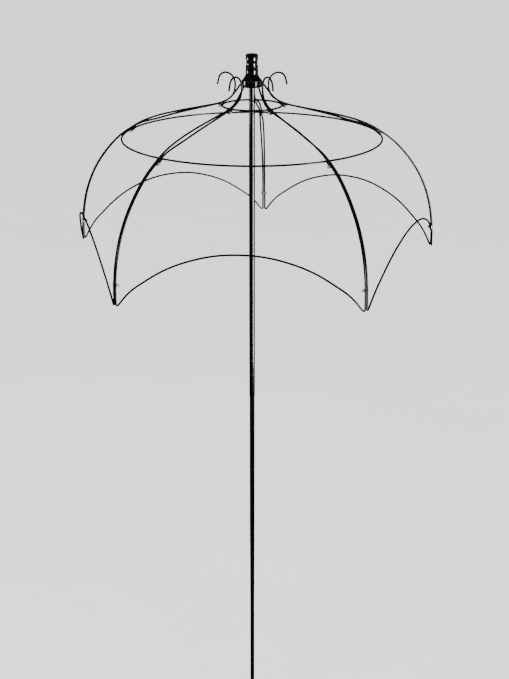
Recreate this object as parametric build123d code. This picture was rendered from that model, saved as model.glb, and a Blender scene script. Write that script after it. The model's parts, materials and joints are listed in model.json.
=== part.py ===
from build123d import *
import os
from collections import namedtuple
from math import atan2, cos, radians, sin, tan

# Umbrella-shaped garden trellis. Millimetres, +Z up.
# The origin is on the pole's axis at ground level, so the pole's foot reaches below z = 0.
# Heights in the canopy are measured from the plane of the rib tips, which is CANOPY_Z above ground.

# Canopy
RIB_COUNT = 5
RIB_STEP = 360.0 / RIB_COUNT
FIRST_RIB = 90.0                    # degrees from +X to the back rib, counted from above
CANOPY_Z = 1457.0
ROD_R = 2.5
RUN_SHARE = 0.45                    # part of a run that one bend may use up

# Rib outline from the small ring to the tip: radius, height
RIB_OUTLINE = (
    (94.0, 410.0),
    (150.0, 396.0),
    (210.0, 381.0),
    (275.0, 361.5),
    (322.0, 344.5),
    (362.0, 322.5),
    (398.0, 295.5),
    (437.0, 254.0),
    (471.0, 205.0),
    (495.0, 152.0),
    (509.0, 98.0),
    (515.0, 45.0),
)
MID_RING_AT = 4                     # the mid ring is on the run that starts at this point
TIP_R = 515.0
TIP_DROP = -6.7                     # height of the corner that the tip's bend rounds off
TIP_HALF = 2.9
TIP_BEND_R = 3.4
# Where a rib's two rods leave the outline: half the sideways gap between them, how far the rod
# that ends in the hub is above the outline and how far the one that ends in a scroll is below it
Spread = namedtuple("Spread", "half rise fall")
PAIR_HALF = 2.65
CLOSE = Spread(PAIR_HALF, 0.0, 0.0)
RIB_SPREAD = {
    1: Spread(2.8, 0.9, 0.9),
    2: Spread(2.9, 2.3, 2.3),
    3: Spread(2.8, 4.0, 4.0),
    4: Spread(PAIR_HALF, 2.6, 0.0),
}
# The rods are springy, so some ribs differ at some points of the outline
LOOSE_SPREAD = {
    0: {
        6: Spread(4.2, 0.0, 0.0),
        7: Spread(4.3, 0.0, 0.0),
        8: Spread(3.6, 0.0, 0.0),
    },
    2: {
        1: Spread(3.6, 1.4, 1.2),
        2: Spread(3.9, 2.8, 2.6),
        3: Spread(3.5, 4.0, 3.6),
        4: Spread(3.0, 3.0, 0.0),
    },
    3: {
        1: Spread(2.8, 2.2, 2.2),
        2: Spread(2.9, 2.8, 2.8),
        3: Spread(2.8, 2.8, 2.8),
        4: Spread(PAIR_HALF, 1.6, 0.0),
    },
}

# Inner end of the rod that goes into the hub: radius, height, offset from the rib's plane
SHOULDER = (66.0, 422.5)
HUB_END = ((66.0, 422.5, 2.2), (48.0, 441.5, 1.2), (31.0, 465.0, 0.0), (15.0, 465.0, 0.0))
HUB_BEND_R = 6.0
# Inner end of the rod that makes the scroll
SCROLL_END = (
    (66.0, 422.5, 3.1),
    (50.5, 436.0, 3.9),
    (44.5, 456.0, 3.9),
    (46.0, 476.0, 3.9),
    (57.0, 490.0, 3.9),
    (75.0, 494.0, 3.9),
    (89.0, 485.0, 3.9),
    (95.0, 461.0, 3.9),
)

# Scalloped lower edge between two tips: an arc in a plane that leans outwards
SCALLOP_TOP_R = 447.0
SCALLOP_TOP_Z = 141.0
SCALLOP_RUNS = 6

# Rings, ears and the bolts that hold them
RING_GAP = 0.1
EAR_T = 2.0
EAR_R = 4.0
RING_BOLT_DROP = 7.3
TIP_BOLT_DROP = 5.2
TIP_EAR_AT = 3.2
BOLT_HOLE_R = 2.15
BOLT_R = 2.0
HEX_ACROSS = 7.0
HEAD_H = 2.8
NUT_H = 3.2
BOLT_PAST_NUT = 2.8
NUT_BORE_R = 2.03
RING_NECK_R = 2.8

# Hub, heights from the rib tips
DISC_R = 26.8
DISC_BOTTOM = 459.5
DISC_TOP = 475.0
REGISTER_R = 21.4
REGISTER_H = 1.5
ROD_HOLE_Z = 465.0
ROD_HOLE_R = 2.55
ROD_HOLE_END = 14.5
ROD_SCREW_AT = 20.5
ROD_SCREW_R = 1.95
ROD_SCREW_HOLE_R = 2.0
SLEEVE_R = 10.0
SLEEVE_PRESS_GAP = 0.02
SLEEVE_TOP = 499.0
SLEEVE_BORE_END = 494.3
LOCK_ANGLE = 54.0
LOCK_Z = 468.0
LOCK_R = 2.45
LOCK_HOLE_R = 2.5
LOCK_POINT = 8.4                    # radius where the backed-off screw ends, just clear of the pole
SOCKET_AF = 2.0
BELL_NECK_R = 15.8
BELL_NECK_Z = 493.0
BELL_WAIST = (19.9, 484.0)
BELL_TOP = 509.5
BELL_WALL = 2.6
BELL_ROOF = 3.0
BELL_MOUTH_R = 21.6
BELL_INNER_R = 13.6
COLLAR_R = 16.9
COLLAR_TOP = 513.5
COLLAR_ROUND = 0.45                 # part of its thickness that each rounded edge takes
KNOB_NECK_R = 14.3
KNOB_Z = 526.5
KNOB_R = 15.6
KNOB_TOP = 543.0
KNOB_ROUND = 3.0
BULGE = 0.5                         # of the bell's neck, the knob and its neck, halfway up
STUD_R = 2.95
STUD_HOLE_R = 3.0
STUD_CLEAR_R = 3.3
STUD_BOTTOM = 494.6
STUD_TOP = 534.0
HUB_NUT_AF = 10.0
HUB_NUT_H = 5.0

# Pole, heights from the ground
UPPER_R = 8.0
MIDDLE_R = 7.0
MIDDLE_END_R = 6.3                  # of its drawn-down lower end, a small step over the lower tube
LOWER_R = 6.0
WALL = 1.0
SLIP_GAP = 0.05
REST_GAP = 0.3                      # bodies that rest on each other are drawn this far apart
POLE_TOP = 494.0                    # from the rib tips, inside the sleeve
UPPER_JOINT_Z = 1052.0
UPPER_SOCKET = 80.0
BEAD_HALF = 1.5
BEAD_FLAT = 0.5
BEAD_DEPTH = 0.65
TAPER_TOP_Z = 660.0
TAPER_END_Z = 450.0
LOWER_JOINT_Z = 415.0
LOWER_SOCKET = 70.0
GROUND_DEPTH = 300.0
POINT_LENGTH = 45.0
POINT_R = 1.5
EDGE = 0.4


def rib_angle(index):
    """Direction of a rib, in degrees counted from above."""
    return FIRST_RIB + index * RIB_STEP


def canopy_point(radius, height, angle, offset=0.0):
    """Point in the vertical plane at an angle, moved sideways by an offset."""
    a = radians(angle)
    x = radius * cos(a) - offset * sin(a)
    y = radius * sin(a) + offset * cos(a)
    return Vector(x, y, CANOPY_Z + height)


def bend_radii(points, tight):
    """Largest arc that fits each corner of a route, or the stated one at a tight corner."""
    radii = []
    for i in range(1, len(points) - 1):
        run_in = points[i] - points[i - 1]
        run_out = points[i + 1] - points[i]
        half_turn = radians(run_in.get_angle(run_out)) / 2
        reach = RUN_SHARE * min(run_in.length, run_out.length)
        radii.append(tight.get(i, reach / tan(half_turn)))
    return radii


def bent_rod(points, tight):
    """Round rod along straight runs joined by tangent arcs."""
    path = FilletPolyline(*points, radius=bend_radii(points, tight))
    section = Plane(origin=path @ 0, z_dir=path % 0) * Circle(ROD_R)
    return sweep(section, path=path)


def rib_points(index, side):
    """Corners of one rib rod from the small ring down to the tip, on one side of its rib."""
    spreads = RIB_SPREAD | LOOSE_SPREAD.get(index % RIB_COUNT, {})
    points = []
    for i, (radius, height) in enumerate(RIB_OUTLINE):
        half, rise, fall = spreads.get(i, CLOSE)
        shift = -fall if side > 0 else rise
        points.append(canopy_point(radius, height + shift, rib_angle(index), side * half))
    return points


def end_points(outline, index, side):
    """Corners of a rod's inner end, from the small ring inwards."""
    return [canopy_point(r, z, rib_angle(index), side * w) for r, z, w in outline]


def scallop_points(index):
    """Corners outside the arc between the tips of a rib and the next, tips included."""
    start = canopy_point(TIP_R, TIP_DROP, rib_angle(index), TIP_HALF)
    finish = canopy_point(TIP_R, TIP_DROP, rib_angle(index + 1), -TIP_HALF)
    middle = (start + finish) / 2
    top = canopy_point(SCALLOP_TOP_R, SCALLOP_TOP_Z, rib_angle(index + 0.5))
    along = (finish - start).normalized()
    half_chord = (finish - start).length / 2
    rise = (top - middle).length
    up = (top - middle).normalized()
    arc_r = (half_chord ** 2 + rise ** 2) / (2 * rise)
    centre = middle + up * (rise - arc_r)
    half_angle = atan2(half_chord, arc_r - rise)
    step = half_angle / SCALLOP_RUNS
    points = [start]
    for i in range(SCALLOP_RUNS):
        turn = (2 * i + 1) * step - half_angle
        corner_r = arc_r / cos(step)
        points.append(centre + along * (corner_r * sin(turn)) + up * (corner_r * cos(turn)))
    points.append(finish)
    return points


def clamp_frame(joint, index):
    """Plane on a rib where a joint sits: X runs down the rib, Y into the canopy, Z across it."""
    r0, z0 = joint.run[0]
    r1, z1 = joint.run[1]
    radius = r0 + joint.share * (r1 - r0)
    height = z0 + joint.share * (z1 - z0)
    origin = canopy_point(radius, height, rib_angle(index))
    a = radians(rib_angle(index))
    along = Vector((r1 - r0) * cos(a), (r1 - r0) * sin(a), z1 - z0)
    return Plane(origin=origin, x_dir=along, z_dir=(-sin(a), cos(a), 0))


# Each bolted joint: the rib's run that it sits on and where along it, how far past that point
# and how far into the canopy the bolt is, and how far the ears stand from the rib's middle plane.
Clamp = namedtuple("Clamp", "run share reach drop inner")
SHOULDER_RUN = (SHOULDER, RIB_OUTLINE[0])
MID_RUN = RIB_OUTLINE[MID_RING_AT:MID_RING_AT + 2]
TIP_RUN = RIB_OUTLINE[-2:]
CLAMPS = {
    "small_ring": Clamp(SHOULDER_RUN, 0.5, 13.0, RING_BOLT_DROP, EAR_T / 2),
    "mid_ring": Clamp(MID_RUN, 0.5, 18.0, RING_BOLT_DROP, EAR_T / 2),
    "rib_tip": Clamp(TIP_RUN, 0.9, 0.0, TIP_BOLT_DROP, TIP_EAR_AT),
}


def ear(clamp, index, side):
    """Welded ear on one rib rod, with its bolt hole."""
    joint = CLAMPS[clamp]
    plate = Pos(joint.reach, joint.drop / 2) * Rectangle(2 * EAR_R, joint.drop)
    plate += Pos(joint.reach, joint.drop) * Circle(EAR_R)
    plate -= Pos(joint.reach, joint.drop) * Circle(BOLT_HOLE_R)
    low = joint.inner if side > 0 else -joint.inner - EAR_T
    return clamp_frame(joint, index) * extrude(Pos(0, 0, low) * plate, amount=EAR_T)


def gore_frame(index):
    """One bent rod: scroll, down a rib, the scallop, up the next rib and into the hub."""
    down = rib_points(index, 1)
    up = rib_points(index + 1, -1)
    scroll = end_points(SCROLL_END, index, 1)
    hub = end_points(HUB_END, index + 1, -1)
    scallop = scallop_points(index)
    points = scroll[::-1] + down + scallop + up[::-1] + hub
    first_tip = len(scroll) + len(down)
    last_tip = first_tip + len(scallop) - 1
    tight = {first_tip: TIP_BEND_R, last_tip: TIP_BEND_R, len(points) - 2: HUB_BEND_R}
    frame = bent_rod(points, tight)
    for clamp in CLAMPS:
        frame += ear(clamp, index, 1)
        frame += ear(clamp, index + 1, -1)
    return frame


def ring(clamp):
    """Round ring under the ribs, with an ear at each rib that sits between the rods' ears."""
    joint = CLAMPS[clamp]
    under = 2 * ROD_R + RING_GAP
    centre = clamp_frame(joint, 0) * Pos(0, under)
    place = centre.position
    solid = Pos(0, 0, place.Z) * Torus(Vector(place.X, place.Y).length, ROD_R)
    neck = Pos(0, under) * Circle(RING_NECK_R)
    head = Pos(joint.reach, joint.drop) * Circle(EAR_R)
    hole = Pos(joint.reach, joint.drop) * Circle(BOLT_HOLE_R)
    plate = make_hull(neck.edges() + head.edges()) - hole
    tab = extrude(Pos(0, 0, -EAR_T / 2) * plate, amount=EAR_T)
    for i in range(RIB_COUNT):
        solid += clamp_frame(joint, i) * tab
    return solid


def hex_block(across, height):
    """Hexagonal prism on the XY plane with its top corners turned off."""
    block = extrude(RegularPolygon(across / 2, 6, major_radius=False), amount=height)
    corner_r = across / 2 / cos(radians(30))
    blank = Cylinder(corner_r, height, align=(Align.CENTER, Align.CENTER, Align.MIN))
    blank = chamfer(blank.edges().group_by(Axis.Z)[-1], corner_r - across / 2)
    return block & blank


def bolt_axis(joint):
    """Place of a joint's bolt in its own plane, pointing from the bolt's head to its nut."""
    return Pos(joint.reach, joint.drop) * Rot(180, 0, 0)


def bolt(clamp):
    """Hex-head bolt lying across a rib, in the joint's own plane."""
    joint = CLAMPS[clamp]
    face = joint.inner + EAR_T
    shank_length = 2 * face + NUT_H + BOLT_PAST_NUT
    shank = Cylinder(BOLT_R, shank_length, align=(Align.CENTER, Align.CENTER, Align.MIN))
    shank = chamfer(shank.edges().group_by(Axis.Z)[-1], EDGE)
    head = Rot(180, 0, 0) * hex_block(HEX_ACROSS, HEAD_H)
    return bolt_axis(joint) * Pos(0, 0, -face) * (shank + head)


def nut(clamp):
    """Hex nut on the far side of a joint."""
    joint = CLAMPS[clamp]
    blank = hex_block(HEX_ACROSS, NUT_H)
    blank -= Pos(0, 0, NUT_H / 2) * Cylinder(NUT_BORE_R, 2 * NUT_H)
    return bolt_axis(joint) * Pos(0, 0, joint.inner + EAR_T) * blank


def at_each_rib(clamp, solid):
    """The same fastener at every rib, as separate solids in one node."""
    joint = CLAMPS[clamp]
    return Compound(children=[clamp_frame(joint, i) * solid for i in range(RIB_COUNT)])


def spun(outline, base=CANOPY_Z):
    """Solid of revolution about the pole's axis from a closed outline."""
    profile = Plane.XZ * make_face(outline.edges())
    return Pos(0, 0, base) * revolve(profile, Axis.Z)


def turned(outline, base=CANOPY_Z):
    """Solid of revolution about the pole's axis from a list of (radius, height) corners."""
    return spun(Polyline(*outline, close=True), base)


def bulged(low, high):
    """Side of a turned part that swells a little halfway up."""
    middle = ((low[0] + high[0]) / 2 + BULGE, (low[1] + high[1]) / 2)
    return ThreePointArc(low, middle, high)


def radial_bore(radius, angle, height, r_from, r_to):
    """Cylinder along a radius of the hub."""
    length = r_to - r_from
    a = radians(angle)
    start = canopy_point(r_from, height, angle)
    tool = Cylinder(radius, length, align=(Align.CENTER, Align.CENTER, Align.MIN))
    return Plane(origin=start, x_dir=(0, 0, 1), z_dir=(cos(a), sin(a), 0)) * tool


def hub_disc():
    """Disc that the five hub rods plug into, bored for the sleeve."""
    bore = SLEEVE_R + SLEEVE_PRESS_GAP
    disc = turned([
        (bore, DISC_BOTTOM),
        (DISC_R - 2 * EDGE, DISC_BOTTOM),
        (DISC_R, DISC_BOTTOM + 2 * EDGE),
        (DISC_R, DISC_TOP - EDGE),
        (DISC_R - EDGE, DISC_TOP),
        (REGISTER_R, DISC_TOP),
        (REGISTER_R, DISC_TOP + REGISTER_H),
        (bore, DISC_TOP + REGISTER_H),
    ])
    for i in range(RIB_COUNT):
        disc -= radial_bore(ROD_HOLE_R, rib_angle(i), ROD_HOLE_Z, ROD_HOLE_END, 2 * DISC_R)
        place = canopy_point(ROD_SCREW_AT, DISC_BOTTOM, rib_angle(i))
        depth = 2 * (ROD_HOLE_Z - DISC_BOTTOM)
        disc -= Pos(*place) * Cylinder(ROD_SCREW_HOLE_R, depth)
    return disc - radial_bore(LOCK_HOLE_R, LOCK_ANGLE, LOCK_Z, 0, 2 * DISC_R)


def hub_sleeve():
    """Cap-ended sleeve that turns on the top of the pole."""
    bore = UPPER_R + SLIP_GAP
    sleeve = turned([
        (bore, DISC_BOTTOM),
        (SLEEVE_R, DISC_BOTTOM),
        (SLEEVE_R, SLEEVE_TOP - EDGE),
        (SLEEVE_R - EDGE, SLEEVE_TOP),
        (STUD_HOLE_R, SLEEVE_TOP),
        (STUD_HOLE_R, SLEEVE_BORE_END),
        (bore, SLEEVE_BORE_END),
    ])
    return sleeve - radial_bore(LOCK_HOLE_R, LOCK_ANGLE, LOCK_Z, 0, 2 * DISC_R)


def hub_rod_screws():
    """Headless screws that hold the rods from under the disc."""
    length = ROD_HOLE_Z - ROD_R - DISC_BOTTOM
    screw = Cylinder(ROD_SCREW_R, length, align=(Align.CENTER, Align.CENTER, Align.MIN))
    socket = extrude(RegularPolygon(SOCKET_AF / 2, 6, major_radius=False), amount=length / 2)
    screw -= socket
    places = [canopy_point(ROD_SCREW_AT, DISC_BOTTOM, rib_angle(i)) for i in range(RIB_COUNT)]
    return Compound(children=[Pos(*place) * screw for place in places])


def hub_lock_screw():
    """Headless screw through the disc and sleeve that can lock the crown to the pole."""
    screw = radial_bore(LOCK_R, LOCK_ANGLE, LOCK_Z, LOCK_POINT, DISC_R - EDGE)
    a = radians(LOCK_ANGLE)
    mouth = canopy_point(DISC_R - EDGE, LOCK_Z, LOCK_ANGLE)
    facing = Plane(origin=mouth, x_dir=(0, 0, 1), z_dir=(-cos(a), -sin(a), 0))
    socket = RegularPolygon(SOCKET_AF / 2, 6, major_radius=False)
    return screw - facing * extrude(socket, amount=LOCK_R)


def hub_bell():
    """Hollow bell over the sleeve, sitting on the disc."""
    rim = (DISC_R - EDGE, DISC_TOP)
    lip = (DISC_R - EDGE, DISC_TOP + 2 * EDGE)
    neck = (BELL_NECK_R, BELL_NECK_Z)
    shoulder = (BELL_NECK_R, BELL_TOP - 2 * EDGE)
    crown = (BELL_NECK_R - 2 * EDGE, BELL_TOP)
    hole_top = (STUD_CLEAR_R, BELL_TOP)
    hole_low = (STUD_CLEAR_R, BELL_TOP - BELL_ROOF)
    inside_top = (BELL_INNER_R, BELL_TOP - BELL_ROOF)
    inside_neck = (BELL_INNER_R, BELL_NECK_Z)
    inside_waist = (BELL_WAIST[0] - BELL_WALL, BELL_WAIST[1])
    mouth_top = (BELL_MOUTH_R, DISC_TOP + REGISTER_H + EDGE)
    mouth = (BELL_MOUTH_R, DISC_TOP)
    outline = (
        Line(rim, lip)
        + ThreePointArc(lip, BELL_WAIST, neck)
        + bulged(neck, shoulder)
        + Polyline(shoulder, crown, hole_top, hole_low, inside_top, inside_neck)
        + ThreePointArc(inside_neck, inside_waist, mouth_top)
        + Polyline(mouth_top, mouth, rim)
    )
    return spun(outline)


def hub_nut():
    """Nut that holds the stud to the sleeve's end."""
    blank = hex_block(HUB_NUT_AF, HUB_NUT_H)
    blank -= Pos(0, 0, HUB_NUT_H / 2) * Cylinder(STUD_HOLE_R, 2 * HUB_NUT_H)
    return Pos(0, 0, CANOPY_Z + SLEEVE_TOP) * blank


def finial_stud():
    """Threaded stud that draws the bell, collar and knob together."""
    return turned([
        (0, STUD_BOTTOM),
        (STUD_R, STUD_BOTTOM),
        (STUD_R, STUD_TOP - EDGE),
        (STUD_R - EDGE, STUD_TOP),
        (0, STUD_TOP),
    ])


def finial_collar():
    """Thin round-edged bead between the bell and the knob."""
    ring_part = turned([
        (STUD_CLEAR_R, BELL_TOP),
        (COLLAR_R, BELL_TOP),
        (COLLAR_R, COLLAR_TOP),
        (STUD_CLEAR_R, COLLAR_TOP),
    ])
    rim = ring_part.edges().filter_by(GeomType.CIRCLE).group_by(SortBy.RADIUS)[-1]
    return fillet(rim, COLLAR_ROUND * (COLLAR_TOP - BELL_TOP))


def finial_knob():
    """Turned knob with a waisted neck and a flat rounded top."""
    foot = (KNOB_NECK_R, COLLAR_TOP)
    neck = (KNOB_NECK_R, KNOB_Z - 2 * EDGE)
    flank = (KNOB_R, KNOB_Z + 2 * EDGE)
    rim = (KNOB_R, KNOB_TOP)
    outline = (
        Line((STUD_HOLE_R, COLLAR_TOP), foot)
        + bulged(foot, neck)
        + Polyline(neck, (KNOB_R - 2 * EDGE, KNOB_Z), flank)
        + bulged(flank, rim)
        + Polyline(rim, (0, KNOB_TOP), (0, STUD_TOP + 2 * EDGE), (STUD_HOLE_R, STUD_TOP + EDGE))
        + Line((STUD_HOLE_R, STUD_TOP + EDGE), (STUD_HOLE_R, COLLAR_TOP))
    )
    return fillet(spun(outline).edges().group_by(Axis.Z)[-1], KNOB_ROUND)


def pole_upper():
    """Upper tube, with a rolled-in bead that the middle section stops against."""
    bore = MIDDLE_R + SLIP_GAP
    top = CANOPY_Z + POLE_TOP
    bead = UPPER_JOINT_Z + UPPER_SOCKET + BEAD_HALF
    return turned([
        (bore, UPPER_JOINT_Z),
        (UPPER_R - EDGE, UPPER_JOINT_Z),
        (UPPER_R, UPPER_JOINT_Z + EDGE),
        (UPPER_R, bead - BEAD_HALF),
        (UPPER_R - BEAD_DEPTH, bead - BEAD_FLAT),
        (UPPER_R - BEAD_DEPTH, bead + BEAD_FLAT),
        (UPPER_R, bead + BEAD_HALF),
        (UPPER_R, top - EDGE),
        (UPPER_R - EDGE, top),
        (bore, top),
        (bore, bead + BEAD_HALF),
        (bore - BEAD_DEPTH, bead + BEAD_FLAT),
        (bore - BEAD_DEPTH, bead - BEAD_FLAT),
        (bore, bead - BEAD_HALF),
    ], base=0)


def pole_middle():
    """Middle tube, drawn down at its lower end to take the lower section's spigot."""
    top = UPPER_JOINT_Z + UPPER_SOCKET - REST_GAP
    socket_r = LOWER_R - WALL
    return turned([
        (socket_r, LOWER_JOINT_Z),
        (MIDDLE_END_R - EDGE, LOWER_JOINT_Z),
        (MIDDLE_END_R, LOWER_JOINT_Z + EDGE),
        (MIDDLE_END_R, TAPER_END_Z),
        (MIDDLE_R, TAPER_TOP_Z),
        (MIDDLE_R, top - EDGE),
        (MIDDLE_R - EDGE, top),
        (MIDDLE_R - WALL, top),
        (MIDDLE_R - WALL, TAPER_TOP_Z),
        (socket_r, TAPER_END_Z),
    ], base=0)


def pole_lower():
    """Lower tube with a spigot on top and a closed point that is pushed into the ground."""
    shoulder = LOWER_JOINT_Z - REST_GAP
    spigot_r = LOWER_R - WALL - SLIP_GAP
    spigot_top = LOWER_JOINT_Z + LOWER_SOCKET
    point_top = -GROUND_DEPTH + POINT_LENGTH
    return turned([
        (0, -GROUND_DEPTH),
        (POINT_R, -GROUND_DEPTH),
        (LOWER_R, point_top),
        (LOWER_R, shoulder),
        (spigot_r, shoulder),
        (spigot_r, spigot_top - EDGE),
        (spigot_r - EDGE, spigot_top),
        (spigot_r - WALL, spigot_top),
        (spigot_r - WALL, shoulder),
        (LOWER_R - WALL, shoulder - LOWER_R),
        (LOWER_R - WALL, point_top),
        (0, point_top),
    ], base=0)


def write(name, shape):
    """One STEP file per node."""
    export_step(shape, f"parts/{name}.step")


os.makedirs("parts", exist_ok=True)
for number in range(RIB_COUNT):
    write(f"gore_frame_{number + 1}", gore_frame(number))
write("small_ring", ring("small_ring"))
write("mid_ring", ring("mid_ring"))
for joint in CLAMPS:
    write(f"{joint}_bolts", at_each_rib(joint, bolt(joint)))
    write(f"{joint}_nuts", at_each_rib(joint, nut(joint)))
write("hub_disc", hub_disc())
write("hub_sleeve", hub_sleeve())
write("hub_rod_screws", hub_rod_screws())
write("hub_lock_screw", hub_lock_screw())
write("hub_bell", hub_bell())
write("hub_nut", hub_nut())
write("finial_stud", finial_stud())
write("finial_collar", finial_collar())
write("finial_knob", finial_knob())
write("pole_upper", pole_upper())
write("pole_middle", pole_middle())
write("pole_lower", pole_lower())
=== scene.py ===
import json
from collections import namedtuple
from math import cos, pi, radians, sin, tan

import bmesh
import bpy
from mathutils import Matrix, Vector, noise


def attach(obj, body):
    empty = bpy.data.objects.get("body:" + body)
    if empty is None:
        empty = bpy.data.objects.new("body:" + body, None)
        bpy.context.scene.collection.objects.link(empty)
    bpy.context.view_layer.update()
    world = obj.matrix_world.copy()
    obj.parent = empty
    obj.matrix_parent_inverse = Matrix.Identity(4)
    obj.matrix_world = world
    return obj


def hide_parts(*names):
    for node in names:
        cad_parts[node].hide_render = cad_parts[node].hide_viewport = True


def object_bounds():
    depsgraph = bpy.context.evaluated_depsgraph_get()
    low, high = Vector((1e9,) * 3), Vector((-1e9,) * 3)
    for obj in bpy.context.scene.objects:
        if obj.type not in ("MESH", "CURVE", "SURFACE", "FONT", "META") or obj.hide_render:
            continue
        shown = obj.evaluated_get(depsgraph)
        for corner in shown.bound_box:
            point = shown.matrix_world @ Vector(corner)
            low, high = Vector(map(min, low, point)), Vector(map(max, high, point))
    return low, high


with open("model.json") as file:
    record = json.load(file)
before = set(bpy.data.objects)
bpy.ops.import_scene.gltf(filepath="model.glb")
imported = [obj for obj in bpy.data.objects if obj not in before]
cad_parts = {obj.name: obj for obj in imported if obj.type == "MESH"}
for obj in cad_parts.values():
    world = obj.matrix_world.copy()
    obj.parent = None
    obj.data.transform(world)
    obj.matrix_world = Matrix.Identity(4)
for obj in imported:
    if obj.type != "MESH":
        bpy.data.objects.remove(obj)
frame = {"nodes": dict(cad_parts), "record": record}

# Umbrella garden trellis: looks, small weld and thread detail, studio and camera. Metres, +Z up.
# The origin is on the pole's axis at ground level, as in the CAD model.

CAD_LOW, CAD_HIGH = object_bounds()
MM = 0.001

# Canopy, in the CAD model's own numbers: heights are above the plane of the rib tips
RIB_COUNT = 5
RIB_STEP = 2 * pi / RIB_COUNT
FIRST_RIB = pi / 2
CANOPY_Z = 1457 * MM
ROD_R = 2.5 * MM
PAIR_HALF = 2.65 * MM               # from a rib's middle plane to each of its two rods
RING_DROP = 5.1 * MM                # from a rib's middle line to the ring's under it

# Bolted joints: the rib's run that each is on (radius, height at both ends, in mm) and where
# along it, how far past that point and how far into the canopy the bolt is, and how far the
# ears stand from the rib's middle plane
EAR_T = 2.0 * MM
EAR_R = 4.0 * MM
Joint = namedtuple("Joint", "start end share reach drop inner")
JOINTS = {
    "small_ring": Joint((66.0, 422.5), (94.0, 410.0), 0.5, 13.0 * MM, 7.3 * MM, 1.0 * MM),
    "mid_ring": Joint((322.0, 344.5), (362.0, 322.5), 0.5, 18.0 * MM, 7.3 * MM, 1.0 * MM),
    "rib_tip": Joint((509.0, 98.0), (515.0, 45.0), 0.9, 0.0, 5.2 * MM, 3.2 * MM),
}

# M4 fasteners: hexagons
HEX_ACROSS = 7.0 * MM
HEX_POINTS = 72
HEX_CORNER = 0.985                  # of a sharp corner's distance from the centre
HEX_FLAT_R = 0.47 * HEX_ACROSS      # of the round flat that the chamfer leaves on each face
HEX_CHAMFER = tan(radians(30))
HEAD_H = 2.8 * MM
NUT_H = 3.2 * MM
NUT_BORE_R = 2.03 * MM
NUT_SINK = 0.35 * MM
DISH_R = 0.36 * HEX_ACROSS
DISH_FLOOR_R = 0.9 * DISH_R
DISH_LIP = 0.02 * MM
DISH_DEPTH = 0.22 * MM
HEAD_SPIN = (7, 23)                 # degrees: the first one's turn and the step to the next
NUT_SPIN = (11, 37)

# M4 fasteners: shank and thread
BOLT_R = 2.0 * MM
BOLT_POINTS = 28
BOLT_STEPS = 66
BOLT_PAST_NUT = 2.8 * MM
HEAD_GAP = 0.02 * MM                # between the head's underside and the shank's own end
THREAD_PITCH = 0.7 * MM
THREAD_DEPTH = 0.38 * MM
THREAD_CREST = 1.4                  # over 1 rounds the crests
THREAD_LENGTH = 7.0 * MM
THREAD_END = 0.5 * MM               # over which the last thread fades into the end's chamfer
THREAD_CHAMFER = 0.45 * MM

# Weld beads
BEAD_POINTS = 12
BEAD_RIPPLES = 6
BEAD_RIPPLE = 0.14
BEAD_UNEVENNESS = 0.1
BEAD_GRAIN = 900                    # of the unevenness, per metre
BEAD_TAPERS = 5                     # each end is drawn in over a fifth of the bead
BEAD_TIP = 0.05
EAR_WELD_R = 0.55 * MM
EAR_WELD_SHARE = 0.92               # of the ear's length
EAR_WELD_STEPS = 30
EAR_WELD_PAST = 0.2 * MM            # into the canopy from the corner between rod and ear
EAR_WELD_PROUD = 0.1 * MM           # of the ear's face
BACK_WELD_OUT = 0.35 * MM           # outward from the rib's middle line, on the ear's back edge
BACK_WELD_SUNK = 0.1 * MM           # in the rod's side
RING_WELD_R = 0.5 * MM
RING_WELD_STEPS = 40
RING_WELD_ROUND = 1.08 * ROD_R
RING_WELD_PROUD = 0.15 * MM
RING_WELD_SEED = 3.0

# Scroll ends of the rods: the last run's two ends (radius, height, in mm), the offset from the
# rib's middle plane, and the rounded cap over the cut
SCROLL_LAST_RUN = ((89.0, 485.0), (95.0, 461.0))
SCROLL_OFFSET = 3.9 * MM
CAP_R = 1.01 * ROD_R
CAP_LAP = 0.6 * MM
CAP_H = 1.1 * MM
CAP_POINTS = 28
CAP_STEPS = 8

# Foot of the pole: where the soil reaches to, and the stretch of the point that is rubbed bare
SOIL_TOP = 0.055
SOIL_WAVE = 0.05
BARE_FROM = -0.235
BARE_TO = -0.298

# Camera, fitted in the CAD frame: place, heading counted from +Y to the left, tilt down, lens
CAMERA_AT = (0.2390, -3.3825, 2.4921)
CAMERA_HEADING = 0.06857
CAMERA_TILT = 0.35901
CAMERA_LENS = 69.40
SENSOR = 36.0

# Studio
FLOOR_HALF = 600.0
VIEW_DEPTH = 3 * FLOOR_HALF
SKY_COLOUR = (1.0, 0.985, 0.96, 1)
SKY_STRENGTH = 1.9


# ---------------------------------------------------------------- mesh tools

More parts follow.
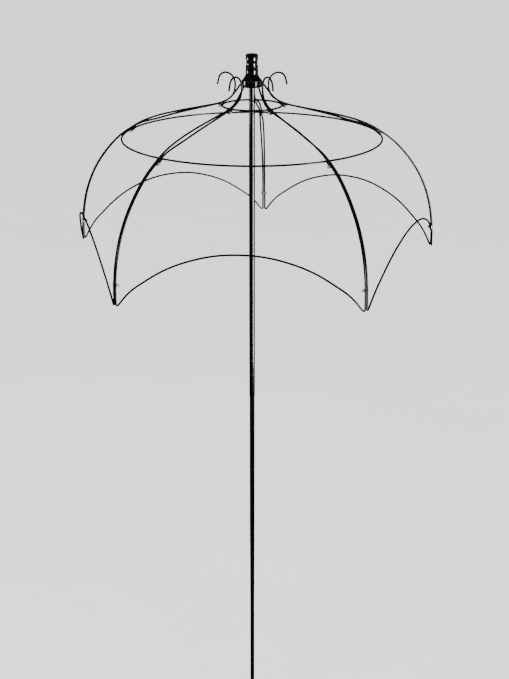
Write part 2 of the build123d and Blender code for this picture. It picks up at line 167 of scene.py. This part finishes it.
class Shape:
    """Vertices and faces of one piece, gathered island by island."""

    def __init__(self):
        self.verts = []
        self.faces = []

    def grid(self, rows, place=None):
        """Faces between closed rows of points; a row of one point ends the surface as a fan."""
        starts = []
        for row in rows:
            starts.append(len(self.verts))
            for point in row:
                point = Vector(point)
                self.verts.append(point if place is None else place @ point)
        for i in range(len(rows) - 1):
            self._strip(starts[i], len(rows[i]), starts[i + 1], len(rows[i + 1]))

    def _strip(self, a, na, b, nb):
        """Faces between the row of na points from index a and the row of nb from index b."""
        n = max(na, nb)
        for j in range(n):
            k = (j + 1) % n
            if na == 1:
                self.faces.append((a, b + j, b + k))
            elif nb == 1:
                self.faces.append((a + j, b, a + k))
            else:
                self.faces.append((a + j, b + j, b + k, a + k))

    def make(self, name, body, material, sharp=radians(34)):
        """One mesh object with shading that breaks only at sharp edges."""
        mesh = bpy.data.meshes.new(name)
        mesh.from_pydata([tuple(v) for v in self.verts], [], self.faces)
        bm = bmesh.new()
        bm.from_mesh(mesh)
        bmesh.ops.recalc_face_normals(bm, faces=bm.faces)
        for face in bm.faces:
            face.smooth = True
        for edge in bm.edges:
            if len(edge.link_faces) == 2:
                edge.smooth = edge.calc_face_angle() < sharp
        bm.to_mesh(mesh)
        bm.free()
        mesh.materials.append(material)
        piece = bpy.data.objects.new(name, mesh)
        bpy.context.scene.collection.objects.link(piece)
        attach(piece, body)
        return piece


def circle(radius, height, count):
    """Points of a circle about Z."""
    turns = [2 * pi * i / count for i in range(count)]
    return [(radius * cos(t), radius * sin(t), height) for t in turns]


def canopy_point(radius, height, angle, offset=0.0):
    """Point in the vertical plane at an angle, moved sideways by an offset."""
    x = radius * cos(angle) - offset * sin(angle)
    y = radius * sin(angle) + offset * cos(angle)
    return Vector((x, y, CANOPY_Z + height))


def rib_angle(index):
    return FIRST_RIB + index * RIB_STEP


def run_ends(start, end, index, offset=0.0):
    """Both ends of a run of a rib, from its (radius, height) points in millimetres."""
    return [canopy_point(r * MM, z * MM, rib_angle(index), offset) for r, z in (start, end)]


def joint_frame(joint, index):
    """Place of a bolted joint: X down the rib, Y into the canopy, Z across the rib."""
    angle = rib_angle(index)
    start, end = run_ends(joint.start, joint.end, index)
    along = (end - start).normalized()
    across = Vector((-sin(angle), cos(angle), 0))
    into = across.cross(along)
    turn = Matrix((along, into, across)).transposed().to_4x4()
    return Matrix.Translation(start.lerp(end, joint.share)) @ turn


def bolt_place(joint, index, height):
    """Place on the bolt's axis, which runs from its head to its nut, at a height along it."""
    middle = joint_frame(joint, index) @ Matrix.Translation((joint.reach, joint.drop, 0))
    return middle @ Matrix.Rotation(pi, 4, "X") @ Matrix.Translation((0, 0, height))


# ---------------------------------------------------------------- fasteners

def hex_radius(turn):
    """Distance from a hexagon's centre to its outline, with the corners slightly cut."""
    side = pi / 3
    local = (turn + side / 2) % side - side / 2
    return min(HEX_ACROSS / 2 / cos(local), HEX_ACROSS / 2 / cos(side / 2) * HEX_CORNER)


def hex_ring(height_of):
    """Hexagonal row of points whose height depends on how far out each one is."""
    row = []
    for i in range(HEX_POINTS):
        turn = 2 * pi * i / HEX_POINTS
        radius = hex_radius(turn)
        row.append((radius * cos(turn), radius * sin(turn), height_of(radius)))
    return row


def hex_rows(height):
    """Hexagon with its corners turned off: at 30 degrees above, half as steeply below."""
    return [
        circle(HEX_FLAT_R, 0.0, HEX_POINTS),
        hex_ring(lambda r: (r - HEX_FLAT_R) * HEX_CHAMFER / 2),
        hex_ring(lambda r: height - (r - HEX_FLAT_R) * HEX_CHAMFER),
        circle(HEX_FLAT_R, height, HEX_POINTS),
    ]


def spin(turns, index):
    """Turn about a fastener's axis, different at each rib."""
    first, step = turns
    return Matrix.Rotation(radians(first + step * index), 4, "Z")


def thread_radius(turn, height, top):
    """Radius of the bolt's surface: plain shank, then a helical V thread with a chamfered end."""
    start = top - THREAD_LENGTH
    if height < start:
        return BOLT_R
    phase = (height / THREAD_PITCH - turn / (2 * pi)) % 1.0
    groove = abs(2 * phase - 1) ** THREAD_CREST
    run_in = min(1.0, (height - start) / THREAD_PITCH)
    chamfer = max(0.0, 1 - (top - height) / THREAD_END) * THREAD_CHAMFER
    return BOLT_R - THREAD_DEPTH * groove * run_in - chamfer


def shank_row(height, length):
    """Row of points round the bolt at a height."""
    row = []
    for i in range(BOLT_POINTS):
        turn = 2 * pi * i / BOLT_POINTS
        radius = thread_radius(turn, height, length)
        row.append((radius * cos(turn), radius * sin(turn), height))
    return row


def add_bolt(shape, joint, index):
    """Hex bolt with a dished head and a threaded end."""
    face = joint.inner + EAR_T
    under_head = bolt_place(joint, index, -face)
    rows = [[(0, 0, 0)]] + hex_rows(HEAD_H)
    rows.append(circle(DISH_R, HEAD_H - DISH_LIP, HEX_POINTS))
    rows.append(circle(DISH_FLOOR_R, HEAD_H - DISH_DEPTH, HEX_POINTS))
    rows.append([(0, 0, HEAD_H - DISH_DEPTH)])
    shape.grid(rows, under_head @ Matrix.Rotation(pi, 4, "X") @ spin(HEAD_SPIN, index))
    length = 2 * face + NUT_H + BOLT_PAST_NUT
    rows = [[(0, 0, HEAD_GAP)]]
    for k in range(BOLT_STEPS + 1):
        rows.append(shank_row(HEAD_GAP + (length - HEAD_GAP) * k / BOLT_STEPS, length))
    rows.append([(0, 0, length)])
    shape.grid(rows, under_head)


def add_nut(shape, joint, index):
    """Hex nut with a countersunk bore."""
    face = joint.inner + EAR_T
    rows = [circle(NUT_BORE_R + NUT_SINK, 0, HEX_POINTS)]
    rows += hex_rows(NUT_H)
    rows.append(circle(NUT_BORE_R + NUT_SINK, NUT_H, HEX_POINTS))
    rows.append(circle(NUT_BORE_R, NUT_H - NUT_SINK, HEX_POINTS))
    rows.append(circle(NUT_BORE_R, NUT_SINK, HEX_POINTS))
    rows.append(rows[0])
    shape.grid(rows, bolt_place(joint, index, face) @ spin(NUT_SPIN, index))


# ---------------------------------------------------------------- welds and rod ends

def add_bead(shape, points, radius, seed):
    """Rippled weld bead along a short route, its ends drawn in."""
    last = len(points) - 1
    rows = []
    for i, point in enumerate(points):
        ahead = points[min(i + 1, last)] - points[max(i - 1, 0)]
        side = ahead.orthogonal().normalized()
        up = ahead.cross(side).normalized()
        share = i / last
        swell = 1 - BEAD_RIPPLE + BEAD_RIPPLE * abs(sin(share * BEAD_RIPPLES * pi))
        swell += BEAD_UNEVENNESS * noise.noise(point * BEAD_GRAIN + seed)
        ends = min(1.0, BEAD_TAPERS * share, BEAD_TAPERS * (1 - share)) ** 0.5
        size = radius * swell * max(ends, BEAD_TIP)
        ring = circle(size, 0.0, BEAD_POINTS)
        rows.append([point + side * x + up * y for x, y, _ in ring])
    shape.grid([[points[0]]] + rows + [[points[-1]]])


def add_ear_weld(shape, joint, index, side):
    """Fillet along a rod, where the outer face or the back edge of its ear meets it."""
    place = joint_frame(joint, index)
    face = joint.inner + EAR_T
    beyond = face - PAIR_HALF
    if beyond < ROD_R:
        y = (ROD_R ** 2 - beyond ** 2) ** 0.5 + EAR_WELD_PAST
        z = face + EAR_WELD_PROUD
    else:
        y = -BACK_WELD_OUT
        z = PAIR_HALF + ROD_R - BACK_WELD_SUNK
    points = []
    for i in range(EAR_WELD_STEPS + 1):
        x = joint.reach + EAR_R * EAR_WELD_SHARE * (2 * i / EAR_WELD_STEPS - 1)
        points.append(place @ Vector((x, y, side * z)))
    add_bead(shape, points, EAR_WELD_R, Vector((index, side, joint.reach)))


def add_ring_weld(shape, joint, index, side):
    """Fillet round the ring's rod, where it passes through a tab."""
    place = joint_frame(joint, index)
    z = side * (EAR_T / 2 + RING_WELD_PROUD)
    around = circle(RING_WELD_ROUND, z, RING_WELD_STEPS)
    points = [place @ Vector((x, RING_DROP + y, z)) for x, y, z in around + around[:1]]
    add_bead(shape, points, RING_WELD_R, Vector((index, side, RING_WELD_SEED)))


def add_rod_end(shape, index):
    """Rounded end of a scroll, where the cut rod was dressed before painting."""
    start, end = run_ends(*SCROLL_LAST_RUN, index, SCROLL_OFFSET)
    turn = (end - start).to_track_quat("Z", "Y").to_matrix().to_4x4()
    rows = [circle(CAP_R, -CAP_LAP, CAP_POINTS)]
    for i in range(CAP_STEPS):
        rise = pi / 2 * i / CAP_STEPS
        rows.append(circle(CAP_R * cos(rise), CAP_H * sin(rise), CAP_POINTS))
    rows.append([(0, 0, CAP_H)])
    shape.grid(rows, Matrix.Translation(end) @ turn)


# ---------------------------------------------------------------- materials

class Paint:
    """A principled material and short calls for the nodes behind it."""

    def __init__(self, name, metallic=0.0, specular=0.5, coat=0.0, coat_roughness=0.1):
        self.material = bpy.data.materials.new(name)
        self.material.use_nodes = True
        self.tree = self.material.node_tree
        self.tree.nodes.clear()
        self.shader = self.tree.nodes.new("ShaderNodeBsdfPrincipled")
        output = self.tree.nodes.new("ShaderNodeOutputMaterial")
        self.tree.links.new(self.shader.outputs["BSDF"], output.inputs["Surface"])
        self.shader.inputs["Metallic"].default_value = metallic
        self.shader.inputs["Specular IOR Level"].default_value = specular
        self.shader.inputs["Coat Weight"].default_value = coat
        self.shader.inputs["Coat Roughness"].default_value = coat_roughness
        self.place = self.node("ShaderNodeTexCoord").outputs["Object"]

    def node(self, kind, **values):
        made = self.tree.nodes.new(kind)
        for key, value in values.items():
            setattr(made, key, value)
        return made

    def plug(self, socket, value):
        """Links a socket to another, or sets it to a number or colour."""
        if isinstance(value, bpy.types.NodeSocket):
            self.tree.links.new(value, socket)
        else:
            socket.default_value = value

    def stretched(self, scale):
        """Coordinates scaled differently along each axis."""
        mapping = self.node("ShaderNodeMapping")
        self.plug(mapping.inputs["Vector"], self.place)
        mapping.inputs["Scale"].default_value = scale
        return mapping.outputs["Vector"]

    def noise(self, scale, detail=3.0, roughness=0.5, vector=None):
        """Noise from 0 to 1, at a scale per metre."""
        made = self.node("ShaderNodeTexNoise")
        self.plug(made.inputs["Vector"], vector or self.place)
        made.inputs["Scale"].default_value = scale
        made.inputs["Detail"].default_value = detail
        made.inputs["Roughness"].default_value = roughness
        return made.outputs["Fac"]

    def crystals(self, scale):
        """Distance from the middle of each cell."""
        made = self.node("ShaderNodeTexVoronoi")
        self.plug(made.inputs["Vector"], self.place)
        made.inputs["Scale"].default_value = scale
        return made.outputs["Distance"]

    def math(self, operation, a, b):
        made = self.node("ShaderNodeMath", operation=operation)
        self.plug(made.inputs[0], a)
        self.plug(made.inputs[1], b)
        return made.outputs["Value"]

    def times(self, a, b):
        return self.math("MULTIPLY", a, b)

    def plus(self, a, b):
        return self.math("ADD", a, b)

    def rest_of(self, share):
        """1 minus a share."""
        return self.math("SUBTRACT", 1.0, share)

    def spread(self, value, low, high, to_low=0.0, to_high=1.0):
        """Clamped map of a range onto another."""
        made = self.node("ShaderNodeMapRange")
        self.plug(made.inputs["Value"], value)
        limits = {"From Min": low, "From Max": high, "To Min": to_low, "To Max": to_high}
        for name, number in limits.items():
            made.inputs[name].default_value = number
        return made.outputs["Result"]

    def mix(self, share, a, b):
        made = self.node("ShaderNodeMix", data_type="RGBA")
        self.plug(made.inputs["Factor"], share)
        self.plug(made.inputs["A"], a)
        self.plug(made.inputs["B"], b)
        return made.outputs["Result"]

    def bump(self, height, distance, strength, normal=None):
        """Normal of a surface raised by a height from 0 to 1, times a distance in metres."""
        made = self.node("ShaderNodeBump")
        self.plug(made.inputs["Height"], height)
        made.inputs["Distance"].default_value = distance
        made.inputs["Strength"].default_value = strength
        if normal:
            self.plug(made.inputs["Normal"], normal)
        return made.outputs["Normal"]

    def part_of(self, vector, axis):
        """One coordinate of a vector."""
        made = self.node("ShaderNodeSeparateXYZ")
        self.plug(made.inputs["Vector"], vector)
        return made.outputs[axis]

    def facing_up(self, low=0.75):
        """1 where the surface faces up, where dust settles."""
        geometry = self.node("ShaderNodeNewGeometry")
        return self.spread(self.part_of(geometry.outputs["Normal"], "Z"), low, 1.0)

    def worn_edges(self, radius, low=0.06, high=0.3):
        """1 along sharp outer edges, broken up by noise."""
        bevel = self.node("ShaderNodeBevel", samples=4)
        bevel.inputs["Radius"].default_value = radius
        geometry = self.node("ShaderNodeNewGeometry")
        product = self.node("ShaderNodeVectorMath", operation="DOT_PRODUCT")
        self.plug(product.inputs[0], bevel.outputs["Normal"])
        self.plug(product.inputs[1], geometry.outputs["Normal"])
        edge = self.spread(self.rest_of(product.outputs["Value"]), low, high)
        patchy = self.spread(self.noise(260, 4, 0.65), 0.42, 0.62)
        return self.times(edge, patchy)

    def finish(self, colour, roughness, normal):
        self.plug(self.shader.inputs["Base Color"], colour)
        self.plug(self.shader.inputs["Roughness"], roughness)
        self.plug(self.shader.inputs["Normal"], normal)
        return self.material


BLACK = (0.0012, 0.0012, 0.0013, 1)
SOFT_BLACK = (0.0028, 0.0027, 0.0029, 1)
DUST = (0.16, 0.145, 0.125, 1)
STEEL = (0.34, 0.33, 0.32, 1)
RUST = (0.105, 0.042, 0.018, 1)
SOIL = (0.085, 0.055, 0.034, 1)
SCRATCHED = (0.07, 0.07, 0.072, 1)
RUBBED_ZINC = (0.78, 0.77, 0.75, 1)


def rod_paint():
    """Black gloss powder coat on bent rod: orange peel, thin dust on top, small chips."""
    paint = Paint("rod_powder_coat", specular=0.22, coat=0.1, coat_roughness=0.08)
    tone = paint.mix(paint.noise(38, 3), (0.0014, 0.0014, 0.0015, 1), (0.0034, 0.0033, 0.0035, 1))
    dust = paint.times(paint.facing_up(), paint.spread(paint.noise(150, 5, 0.7), 0.45, 0.8))
    tone = paint.mix(paint.times(dust, 0.05), tone, DUST)
    chips = paint.spread(paint.noise(420, 2, 0.6), 0.74, 0.76)
    chips = paint.times(chips, paint.spread(paint.noise(24, 2), 0.56, 0.62))
    tone = paint.mix(chips, tone, RUST)
    rough = paint.spread(paint.noise(90, 4, 0.6), 0.3, 0.7, 0.12, 0.22)
    rough = paint.plus(rough, paint.times(dust, 0.25))
    peel = paint.bump(paint.noise(650, 2, 0.4), 0.06 * MM, 0.5)
    normal = paint.bump(paint.rest_of(chips), 0.08 * MM, 0.8, peel)
    return paint.finish(tone, rough, normal)


def weld_paint():
    """The same coat over a weld: rougher skin, a little rust where it didn't take."""
    paint = Paint("weld_powder_coat", specular=0.22, coat=0.1, coat_roughness=0.12)
    rust = paint.spread(paint.noise(520, 4, 0.7), 0.6, 0.72)
    tone = paint.mix(paint.noise(300, 3), (0.0015, 0.0015, 0.0016, 1), (0.004, 0.0038, 0.0038, 1))
    tone = paint.mix(paint.times(rust, 0.7), tone, RUST)
    rough = paint.spread(rust, 0, 1, 0.3, 0.7)
    normal = paint.bump(paint.noise(1500, 4, 0.6), 0.12 * MM, 0.7)
    return paint.finish(tone, rough, normal)


def pole_paint():
    """Black gloss powder coat on drawn tube: peel, scratches along the tube, soil on the foot."""
    paint = Paint("pole_powder_coat", specular=0.42, coat=0.4, coat_roughness=0.06)
    height = paint.part_of(paint.place, "Z")
    tone = paint.mix(paint.noise(16, 3), BLACK, SOFT_BLACK)
    along = paint.noise(1.0, 3, 0.6, paint.stretched((1500, 1500, 26)))
    scratch = paint.spread(along, 0.735, 0.75)
    scratch = paint.times(scratch, paint.spread(paint.noise(9, 2), 0.5, 0.66))
    tone = paint.mix(paint.times(scratch, 0.5), tone, SCRATCHED)
    edge = paint.plus(height, paint.times(paint.noise(60, 4), SOIL_WAVE))
    soil = paint.spread(edge, SOIL_TOP, 0.0)
    soil = paint.times(soil, paint.spread(paint.noise(130, 6, 0.72), 0.46, 0.66))
    tone = paint.mix(paint.times(soil, 0.8), tone, SOIL)
    bare = paint.spread(height, BARE_FROM, BARE_TO)
    bare = paint.times(bare, paint.spread(paint.noise(240, 4, 0.6), 0.4, 0.5))
    tone = paint.mix(bare, tone, STEEL)
    rough = paint.spread(paint.noise(70, 4, 0.6), 0.3, 0.7, 0.08, 0.15)
    rough = paint.plus(rough, paint.times(soil, 0.5))
    rough = paint.plus(rough, paint.times(scratch, 0.2))
    peel = paint.bump(paint.noise(520, 2, 0.4), 0.07 * MM, 0.45)
    marks = paint.bump(paint.rest_of(scratch), 0.03 * MM, 0.7, peel)
    normal = paint.bump(soil, 0.25 * MM, 0.8, marks)
    return paint.finish(tone, rough, normal)


def hub_enamel():
    """Black gloss enamel on turned steel: faint tool rings, rubbed edges, dust on top."""
    paint = Paint("hub_gloss_enamel", specular=0.5, coat=0.8, coat_roughness=0.04)
    tone = paint.mix(paint.noise(120, 3), BLACK, SOFT_BLACK)
    dust = paint.times(paint.facing_up(0.6), paint.spread(paint.noise(320, 5, 0.7), 0.45, 0.75))
    tone = paint.mix(paint.times(dust, 0.05), tone, DUST)
    worn = paint.worn_edges(0.6 * MM)
    tone = paint.mix(paint.times(worn, 0.55), tone, STEEL)
    rough = paint.spread(paint.noise(210, 4, 0.6), 0.3, 0.7, 0.09, 0.19)
    rough = paint.plus(rough, paint.times(dust, 0.3))
    rings = paint.noise(1.0, 2, 0.5, paint.stretched((3, 3, 1900)))
    turned = paint.bump(rings, 0.03 * MM, 0.5)
    normal = paint.bump(paint.noise(700, 2, 0.4), 0.04 * MM, 0.4, turned)
    return paint.finish(tone, rough, normal)


def fastener_plate():
    """Zinc plate, dulled on the flats and rubbed bright on the corners and threads."""
    paint = Paint("zinc_plate", metallic=0.55, specular=0.5)
    tone = paint.mix(paint.noise(700, 4, 0.6), (0.42, 0.42, 0.425, 1), (0.6, 0.595, 0.59, 1))
    worn = paint.worn_edges(0.3 * MM, 0.03, 0.2)
    tone = paint.mix(worn, tone, RUBBED_ZINC)
    rust = paint.spread(paint.noise(900, 4, 0.7), 0.66, 0.74)
    tone = paint.mix(paint.times(rust, 0.5), tone, RUST)
    rough = paint.spread(paint.noise(1100, 3, 0.6), 0.3, 0.7, 0.22, 0.42)
    normal = paint.bump(paint.noise(2400, 3, 0.6), 0.02 * MM, 0.6)
    return paint.finish(tone, rough, normal)


def hidden_zinc():
    """Plain zinc plate with its small crystals."""
    paint = Paint("bright_zinc_plate", metallic=1.0, specular=0.5)
    cells = paint.crystals(900)
    tone = paint.mix(cells, (0.5, 0.5, 0.51, 1), (0.34, 0.345, 0.35, 1))
    rough = paint.spread(paint.noise(800, 3), 0.3, 0.7, 0.25, 0.45)
    normal = paint.bump(cells, 0.02 * MM, 0.6)
    return paint.finish(tone, rough, normal)


def floor_paint():
    """Pale matt studio floor with a faint unevenness."""
    paint = Paint("studio_floor", specular=0.2)
    tone = paint.mix(paint.noise(1.3, 5, 0.6), (0.79, 0.775, 0.755, 1), (0.85, 0.835, 0.815, 1))
    rough = paint.spread(paint.noise(5, 4), 0.3, 0.7, 0.75, 0.92)
    normal = paint.bump(paint.noise(60, 5, 0.6), 0.6 * MM, 0.3)
    return paint.finish(tone, rough, normal)


# ---------------------------------------------------------------- pieces

def paint_cad_nodes(materials):
    """Gives every CAD node the material of its slot."""
    for sub in frame["record"]["subparts"]:
        node = frame["nodes"][sub["node"]]
        for holder in node.material_slots:
            holder.material = materials[sub["material_slot"]]


def make_fasteners(material):
    """Bolts with threads and nuts with chamfers, in place of the plain ones."""
    for name, joint in JOINTS.items():
        bolts = Shape()
        nuts = Shape()
        for index in range(RIB_COUNT):
            add_bolt(bolts, joint, index)
            add_nut(nuts, joint, index)
        piece = bolts.make(f"{name}_threaded_bolts", "crown", material)
        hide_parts(f"{name}_bolts")
        piece = nuts.make(f"{name}_chamfered_nuts", "crown", material)
        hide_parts(f"{name}_nuts")


def make_welds(material):
    """Beads along the ears of each gore frame and round each ring's rod at its tabs."""
    for index in range(RIB_COUNT):
        beads = Shape()
        for joint in JOINTS.values():
            add_ear_weld(beads, joint, index, 1)
            add_ear_weld(beads, joint, index + 1, -1)
        beads.make(f"gore_frame_{index + 1}_welds", "crown", material, pi)
    for name in ("small_ring", "mid_ring"):
        beads = Shape()
        for index in range(RIB_COUNT):
            add_ring_weld(beads, JOINTS[name], index, 1)
            add_ring_weld(beads, JOINTS[name], index, -1)
        beads.make(f"{name}_welds", "crown", material, pi)


def make_rod_ends(material):
    """The five dressed ends of the scrolls."""
    ends = Shape()
    for index in range(RIB_COUNT):
        add_rod_end(ends, index)
    ends.make("scroll_rod_ends", "crown", material)


# ---------------------------------------------------------------- studio and camera

def studio_floor():
    """Wide pale floor level with the foot of the pole."""
    mesh = bpy.data.meshes.new("floor")
    h = FLOOR_HALF
    z = CAD_LOW.z
    mesh.from_pydata([(-h, -h, z), (h, -h, z), (h, h, z), (-h, h, z)], [], [(0, 1, 2, 3)])
    mesh.materials.append(floor_paint())
    floor = bpy.data.objects.new("floor", mesh)
    bpy.context.scene.collection.objects.link(floor)
    floor.visible_glossy = False


def softbox(name, direction, distance, low, high, width, radiance):
    """Upright soft light round the pole, which only shows as a highlight in the paint.

    Its direction is in degrees from +X, and its lower and upper heights are from z = 0.
    """
    data = bpy.data.lights.new(name, "AREA")
    data.shape = "RECTANGLE"
    data.size = width
    data.size_y = high - low
    data.energy = radiance * pi * width * (high - low)
    light = bpy.data.objects.new(name, data)
    turn = radians(direction)
    light.location = (distance * cos(turn), distance * sin(turn), (low + high) / 2)
    light.rotation_euler = (pi / 2, 0, turn + pi / 2)
    light.visible_camera = False
    light.visible_diffuse = False
    bpy.context.scene.collection.objects.link(light)


def overhead(name, location, size, radiance):
    """Large soft light that faces down and isn't mirrored in the paint."""
    data = bpy.data.lights.new(name, "AREA")
    data.size = size
    data.energy = radiance * pi * size * size
    light = bpy.data.objects.new(name, data)
    light.location = location
    light.visible_camera = False
    light.visible_glossy = False
    bpy.context.scene.collection.objects.link(light)


def studio_world():
    """Even pale surroundings that the black paint doesn't mirror."""
    world = bpy.data.worlds.new("studio")
    world.use_nodes = True
    background = world.node_tree.nodes["Background"]
    background.inputs["Color"].default_value = SKY_COLOUR
    background.inputs["Strength"].default_value = SKY_STRENGTH
    world.cycles_visibility.glossy = False
    bpy.context.scene.world = world


def camera():
    """Camera at the fitted place, with no shift."""
    data = bpy.data.cameras.new("camera")
    data.lens = CAMERA_LENS
    data.sensor_width = SENSOR
    data.clip_end = VIEW_DEPTH
    made = bpy.data.objects.new("camera", data)
    made.location = CAMERA_AT
    made.rotation_euler = (pi / 2 - CAMERA_TILT, 0, CAMERA_HEADING)
    bpy.context.scene.collection.objects.link(made)
    bpy.context.scene.camera = made


SLOT_MATERIALS = {
    "rod_paint": rod_paint(),
    "pole_paint": pole_paint(),
    "hub_enamel": hub_enamel(),
    "fastener": fastener_plate(),
    "hidden_steel": hidden_zinc(),
}
paint_cad_nodes(SLOT_MATERIALS)
make_fasteners(SLOT_MATERIALS["fastener"])
make_welds(weld_paint())
make_rod_ends(SLOT_MATERIALS["rod_paint"])

studio_floor()
studio_world()
softbox("strip_right", direction=-35, distance=2.0, low=0.35, high=1.66, width=0.46, radiance=50)
softbox("fill_right", direction=20, distance=3.0, low=0.0, high=3.0, width=2.6, radiance=0.2)
softbox("strip_left", direction=184, distance=1.6, low=1.5, high=1.72, width=0.4, radiance=14)
overhead("sky_panel", location=(-0.8, -1.0, 5.5), size=4.0, radiance=4.0)
camera()
